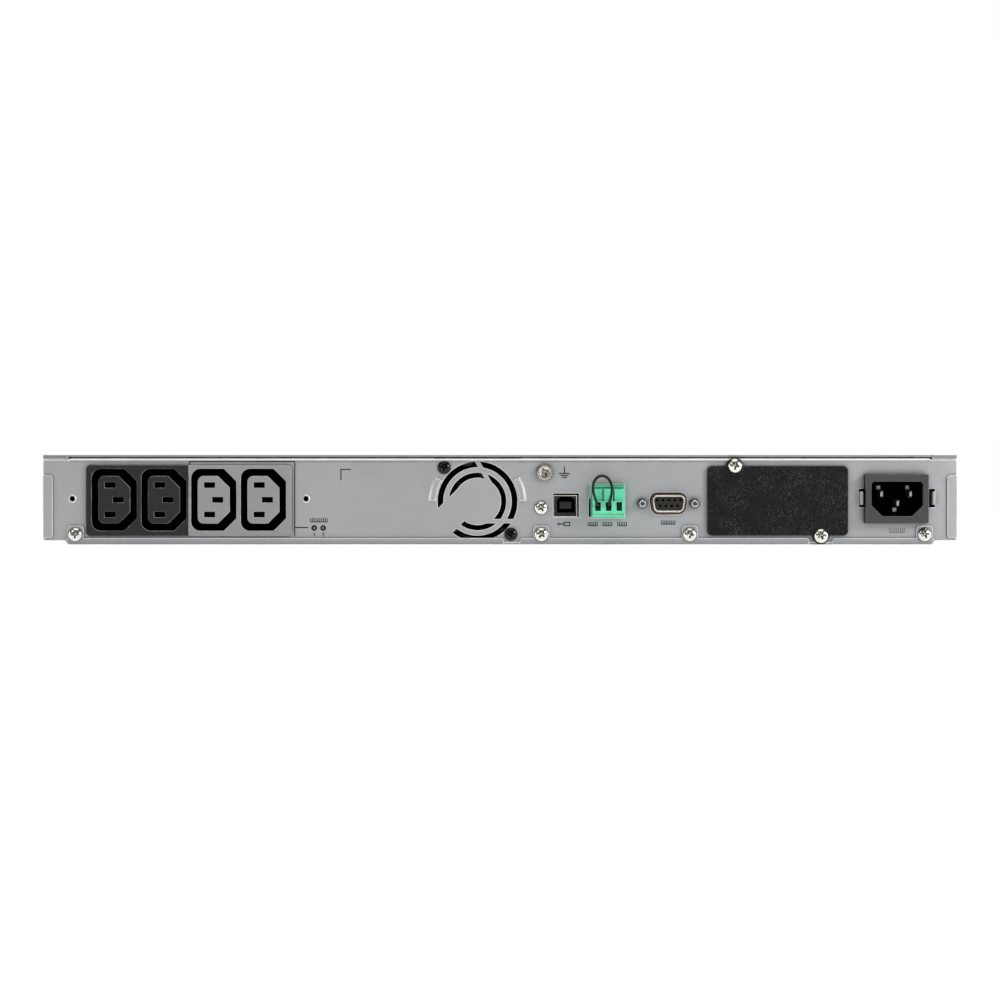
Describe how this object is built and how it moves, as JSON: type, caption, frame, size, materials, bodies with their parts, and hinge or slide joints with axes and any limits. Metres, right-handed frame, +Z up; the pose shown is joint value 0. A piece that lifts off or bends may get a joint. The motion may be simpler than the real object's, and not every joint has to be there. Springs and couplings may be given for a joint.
{
  "type": "rackmount ups",
  "caption": "Flat rack-width steel box holding a battery power supply: mains outlets, inlet, fan and signal ports behind, a pull-off battery door and buttons in front.",
  "frame": {"origin": "on the plane of the base's underside, midway across the width and midway along the overall depth from the front buttons to the end of the terminal plug", "axes": "+X to the right as seen from the front, +Y from the front fascia towards the rear connector panel, +Z up"},
  "size_m": [0.4826, 0.3796, 0.043],
  "materials": {
    "zinc_steel": "zinc plated sheet, satin",
    "ear_black": "powder coated",
    "nickel": "bright nickel plating",
    "outlet_dark": "fine matt",
    "outlet_grey": "fine matt",
    "brass": "plain",
    "inlet_black": "satin",
    "port_black": "satin",
    "terminal_green": "satin gloss",
    "wire_black": "smooth sleeve",
    "cover_black": "fine texture",
    "fan_black": "satin",
    "screw_black": "black oxide",
    "board_green": "solder mask",
    "guide_grey": "satin",
    "core_steel": "varnished laminations",
    "coil_copper": "varnished copper winding",
    "sink_aluminium": "extruded",
    "capacitor_sleeve": "shrink sleeve",
    "relay_case": "satin",
    "battery_case": "satin",
    "connector_red": "satin",
    "connector_black": "satin",
    "fascia_black": "fine texture",
    "window_smoke": "clear smoked",
    "display_grey": "display",
    "button_grey": "satin",
    "power_grey": "satin gloss",
    "light_pipe": "translucent"
  },
  "bodies": {
    "chassis": {"base_tray": "zinc_steel", "rear_panel": "zinc_steel", "top_cover": "zinc_steel", "front_frame": "zinc_steel", "bay_wall": "zinc_steel", "rack_ear_left": "ear_black", "rack_ear_right": "ear_black", "top_cover_screws": "nickel", "rear_panel_screws": "nickel", "rack_ear_screws": "nickel", "inlet_pins": "nickel", "cord_clip_anchors": "nickel", "ground_screw": "nickel", "usb_shell": "nickel", "serial_shell": "nickel", "serial_jackscrews": "nickel", "slot_cover_screws": "nickel", "transformer_mounts": "nickel", "outlet_block_dark": "outlet_dark", "outlet_block_grey": "outlet_grey", "outlet_contacts": "brass", "board_standoffs": "brass", "mains_inlet": "inlet_black", "usb_tongue": "port_black", "serial_insert": "port_black", "terminal_header": "terminal_green", "slot_cover": "cover_black", "fan_frame": "fan_black", "fan_screws": "screw_black", "main_board": "board_green", "comm_board": "board_green", "control_board": "board_green", "card_guides": "guide_grey", "transformer_core": "core_steel", "transformer_coil": "coil_copper", "heatsink": "sink_aluminium", "capacitors": "capacitor_sleeve", "relays": "relay_case", "battery_socket": "connector_black", "control_fascia": "fascia_black", "display_window": "window_smoke", "display_module": "display_grey", "status_lights": "light_pipe"},
    "fan_rotor": {"fan_rotor": "fan_black"},
    "terminal_plug": {"terminal_plug": "terminal_green", "terminal_clamps": "nickel", "jumper_wire": "wire_black"},
    "battery_tray": {"battery_tray": "zinc_steel", "battery_block_left": "battery_case", "battery_block_right": "battery_case", "battery_terminals": "brass", "battery_plug": "connector_red", "battery_handle": "nickel", "battery_thumbscrews": "nickel"},
    "battery_door": {"battery_door": "fascia_black"},
    "power_button": {"power_button": "power_grey"},
    "escape_button": {"escape_button": "button_grey"},
    "up_button": {"up_button": "button_grey"},
    "down_button": {"down_button": "button_grey"},
    "enter_button": {"enter_button": "button_grey"}
  },
  "joints": [
    {"name": "fan_spin", "type": "hinge", "parent": "chassis", "child": "fan_rotor", "pos_m": [0.0108, 0.165, 0.021], "axis": [0, 1, 0], "continuous": true},
    {"name": "terminal_plug_pull", "type": "slide", "parent": "chassis", "child": "terminal_plug", "axis": [0, 1, 0], "range_m": [0, 0.02]},
    {"name": "battery_tray_slide", "type": "slide", "parent": "chassis", "child": "battery_tray", "axis": [0, -1, 0], "range_m": [0, 0.18]},
    {"name": "battery_door_pull", "type": "slide", "parent": "battery_tray", "child": "battery_door", "axis": [0, -1, 0], "range_m": [0, 0.03]},
    {"name": "power_press", "type": "slide", "parent": "chassis", "child": "power_button", "axis": [0, 1, 0], "range_m": [0, 0.001], "stiffness_N_per_m": 300},
    {"name": "escape_press", "type": "slide", "parent": "chassis", "child": "escape_button", "axis": [0, 1, 0], "range_m": [0, 0.0008], "stiffness_N_per_m": 250},
    {"name": "up_press", "type": "slide", "parent": "chassis", "child": "up_button", "axis": [0, 1, 0], "range_m": [0, 0.0008], "stiffness_N_per_m": 250},
    {"name": "down_press", "type": "slide", "parent": "chassis", "child": "down_button", "axis": [0, 1, 0], "range_m": [0, 0.0008], "stiffness_N_per_m": 250},
    {"name": "enter_press", "type": "slide", "parent": "chassis", "child": "enter_button", "axis": [0, 1, 0], "range_m": [0, 0.0008], "stiffness_N_per_m": 250}
  ]
}
